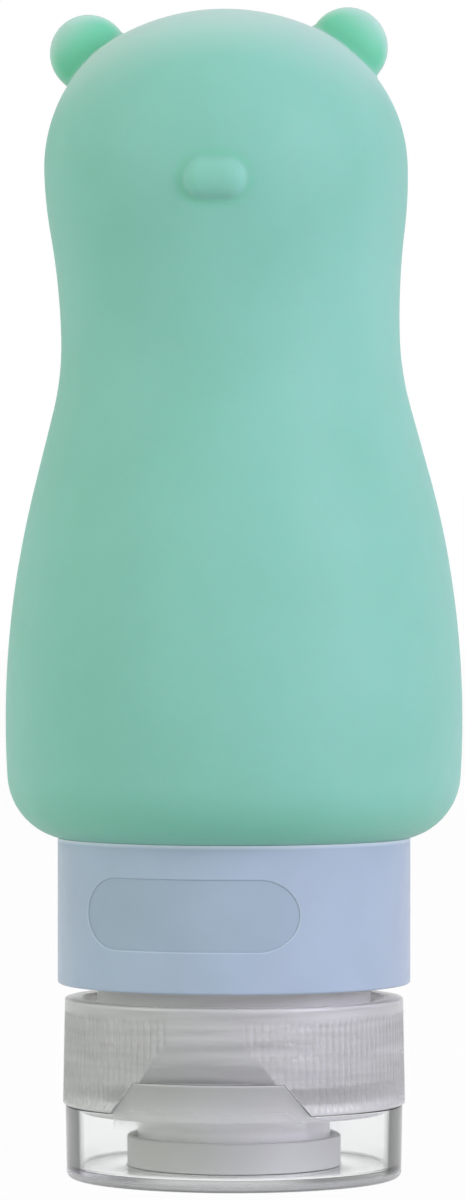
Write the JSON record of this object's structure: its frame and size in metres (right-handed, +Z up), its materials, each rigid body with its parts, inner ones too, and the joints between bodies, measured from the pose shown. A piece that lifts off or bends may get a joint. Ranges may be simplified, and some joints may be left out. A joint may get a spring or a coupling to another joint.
{
  "type": "travel silicone bottle",
  "caption": "Soft bear-shaped squeeze bottle for travel toiletries, with a turning collar window and a ribbed screw cap with a clear flip lid on which it stands.",
  "frame": {"origin": "middle of the lid's flat face, on which the bottle stands", "axes": "+Z up along the bottle's axis to the crown of the head, -Y the way the bear's nose points, +X to the viewer's right"},
  "size_m": [0.0478, 0.0478, 0.1224],
  "materials": {
    "silicone": "matte mint-green silicone, slightly translucent",
    "neck_plastic": "natural polypropylene, milky",
    "collar_plastic": "satin pale-blue moulding",
    "indicator_plastic": "satin pale-blue moulding",
    "seal_rubber": "soft clear-white silicone",
    "cap_plastic": "frosted polypropylene",
    "clear_plastic": "clear moulded plastic"
  },
  "bodies": {
    "bottle": {"silicone_bottle": "silicone", "threaded_neck": "neck_plastic", "indicator_ring": "indicator_plastic"},
    "collar": {"collar": "collar_plastic"},
    "gasket": {"cap_gasket": "seal_rubber"},
    "cap": {"cap_base": "cap_plastic", "valve": "seal_rubber", "valve_retainer": "neck_plastic", "living_hinge": "clear_plastic"},
    "lid": {"flip_lid": "clear_plastic"}
  },
  "joints": [
    {"name": "collar_turn", "type": "hinge", "parent": "bottle", "child": "collar", "pos_m": [0, 0, 0.0279], "axis": [0, 0, 1], "continuous": true},
    {"name": "cap_rise", "type": "slide", "parent": "bottle", "child": "gasket", "axis": [0, 0, -1], "range_m": [0, 0.0046]},
    {"name": "cap_turn", "type": "hinge", "parent": "gasket", "child": "cap", "pos_m": [0, 0, 0.0133], "axis": [0, 0, -1], "range_deg": [0, 540]},
    {"name": "lid_flip", "type": "hinge", "parent": "cap", "child": "lid", "pos_m": [0.00194, 0.01845, 0.00775], "axis": [0.9945, -0.1045, 0], "range_deg": [0, 180], "deforming": ["living_hinge"]}
  ],
  "couplings": [
    {"joint": "cap_rise", "follows": "cap_turn", "m_per_rad": 0.00047746}
  ]
}
